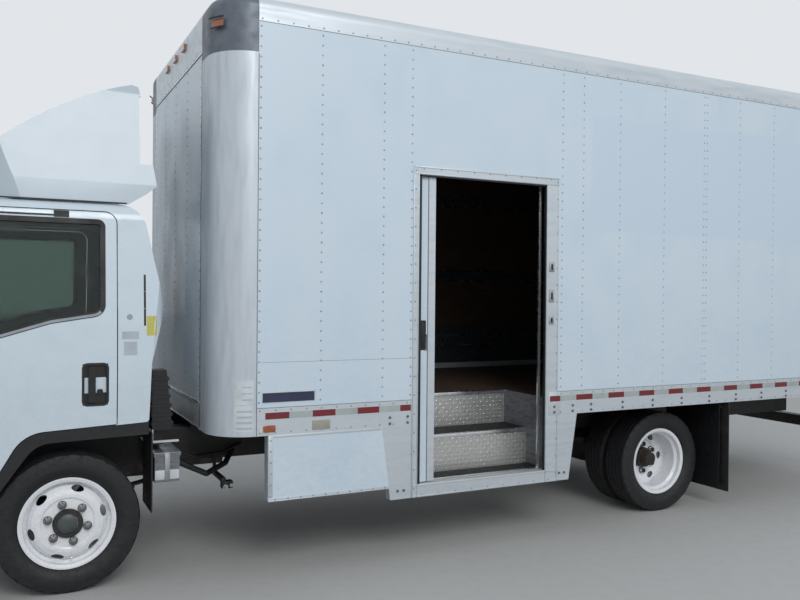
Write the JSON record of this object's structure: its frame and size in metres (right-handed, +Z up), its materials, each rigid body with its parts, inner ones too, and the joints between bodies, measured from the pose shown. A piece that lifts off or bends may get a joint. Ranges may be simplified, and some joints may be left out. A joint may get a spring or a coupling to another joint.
{
  "type": "box truck",
  "caption": "Low-cab truck with a tall box body, a walk-in side door over steps, swing rear doors, a tilting cab with a roof fairing, steered front wheels and twin rear wheels.",
  "frame": {"origin": "on the ground, midway along and across the whole truck", "axes": "+X from the cab to the rear doors, +Y from the side with the walk-in door to the other side, +Z up"},
  "size_m": [8.1, 2.68, 3.5499],
  "materials": {
    "cab_white": "gloss",
    "body_white": "satin",
    "wheel_white": "gloss",
    "tyre": "matte",
    "aluminium": "brushed",
    "cast_grey": "satin",
    "tread_plate": "patterned",
    "chassis_black": "satin",
    "galvanised": "dull",
    "engine_iron": "rough",
    "exhaust_steel": "dull",
    "black_plastic": "grained",
    "cab_trim": "grained",
    "seat_cloth": "woven",
    "floor_wood": "worn",
    "glass": "clear",
    "clear_lamp": "clear",
    "amber_lamp": "clear"
  },
  "bodies": {
    "chassis": {"frame": "chassis_black", "cross_members": "chassis_black", "powertrain": "engine_iron", "front_axle": "chassis_black", "rear_axle": "chassis_black", "fuel_tank": "aluminium", "exhaust": "exhaust_steel", "battery_box": "black_plastic", "air_intake": "black_plastic", "cab_support": "chassis_black", "front_bumper": "black_plastic", "entry_steps": "black_plastic", "mudguards": "black_plastic", "body_sills": "chassis_black", "cross_beams": "chassis_black", "box_floor": "floor_wood", "bottom_rails": "aluminium", "box_left_wall": "body_white", "box_right_wall": "body_white", "box_front_wall": "body_white", "corner_posts": "aluminium", "corner_caps": "cast_grey", "top_rails": "aluminium", "box_roof": "body_white", "roof_bows": "body_white", "load_tracks": "galvanised", "rear_frame": "aluminium", "rear_bumper": "chassis_black", "marker_lamps": "amber_lamp", "side_door_frame": "aluminium", "door_pocket": "body_white", "step_well": "tread_plate"},
    "cab": {"cab_shell": "cab_white", "cab_glass": "glass", "arch_flares": "black_plastic", "roof_fairing": "cab_white", "dashboard": "cab_trim", "seats": "seat_cloth", "seat_bases": "cab_trim", "steering_wheel": "cab_trim", "mirrors": "black_plastic", "headlamps": "clear_lamp"},
    "left_cab_door": {"left_door": "cab_white", "left_door_glass": "glass"},
    "right_cab_door": {"right_door": "cab_white", "right_door_glass": "glass"},
    "sliding_door": {"side_door": "body_white"},
    "rear_left_leaf": {"rear_left_door": "body_white"},
    "rear_right_leaf": {"rear_right_door": "body_white"},
    "left_steer": {"left_knuckle": "chassis_black"},
    "right_steer": {"right_knuckle": "chassis_black"},
    "front_left_hub": {"front_left_wheel": "wheel_white", "front_left_tyre": "tyre"},
    "front_right_hub": {"front_right_wheel": "wheel_white", "front_right_tyre": "tyre"},
    "rear_left_hub": {"rear_left_wheels": "wheel_white", "rear_left_tyres": "tyre"},
    "rear_right_hub": {"rear_right_wheels": "wheel_white", "rear_right_tyres": "tyre"}
  },
  "joints": [
    {"name": "cab_tilt", "type": "hinge", "parent": "chassis", "child": "cab", "pos_m": [-3.94, 0, 0.7], "axis": [0, -1, 0], "range_deg": [0, 45]},
    {"name": "left_cab_door_hinge", "type": "hinge", "parent": "cab", "child": "left_cab_door", "pos_m": [-3.805, -1.004, 1], "axis": [0, 0, -1], "range_deg": [0, 70]},
    {"name": "right_cab_door_hinge", "type": "hinge", "parent": "cab", "child": "right_cab_door", "pos_m": [-3.805, 1.004, 1], "axis": [0, 0, 1], "range_deg": [0, 70]},
    {"name": "side_door_slide", "type": "slide", "parent": "chassis", "child": "sliding_door", "axis": [1, 0, 0], "range_m": [-0.04, 0.925]},
    {"name": "rear_left_door_hinge", "type": "hinge", "parent": "chassis", "child": "rear_left_leaf", "pos_m": [3.975, -1.245, 1], "axis": [0, 0, -1], "range_deg": [0, 270]},
    {"name": "rear_right_door_hinge", "type": "hinge", "parent": "chassis", "child": "rear_right_leaf", "pos_m": [3.975, 1.245, 1], "axis": [0, 0, 1], "range_deg": [0, 270]},
    {"name": "left_steering", "type": "hinge", "parent": "chassis", "child": "left_steer", "pos_m": [-2.94, -0.74, 0.403], "axis": [0, 0, 1], "range_deg": [-38, 38]},
    {"name": "right_steering", "type": "hinge", "parent": "chassis", "child": "right_steer", "pos_m": [-2.94, 0.74, 0.403], "axis": [0, 0, 1], "range_deg": [-38, 38]},
    {"name": "front_left_spin", "type": "hinge", "parent": "left_steer", "child": "front_left_hub", "pos_m": [-2.94, -0.839, 0.403], "axis": [0, 1, 0], "continuous": true},
    {"name": "front_right_spin", "type": "hinge", "parent": "right_steer", "child": "front_right_hub", "pos_m": [-2.94, 0.839, 0.403], "axis": [0, 1, 0], "continuous": true},
    {"name": "rear_left_spin", "type": "hinge", "parent": "chassis", "child": "rear_left_hub", "pos_m": [1.53, -0.8015, 0.403], "axis": [0, 1, 0], "continuous": true},
    {"name": "rear_right_spin", "type": "hinge", "parent": "chassis", "child": "rear_right_hub", "pos_m": [1.53, 0.8015, 0.403], "axis": [0, 1, 0], "continuous": true}
  ],
  "couplings": [
    {"joint": "right_steering", "follows": "left_steering", "ratio": 1}
  ]
}
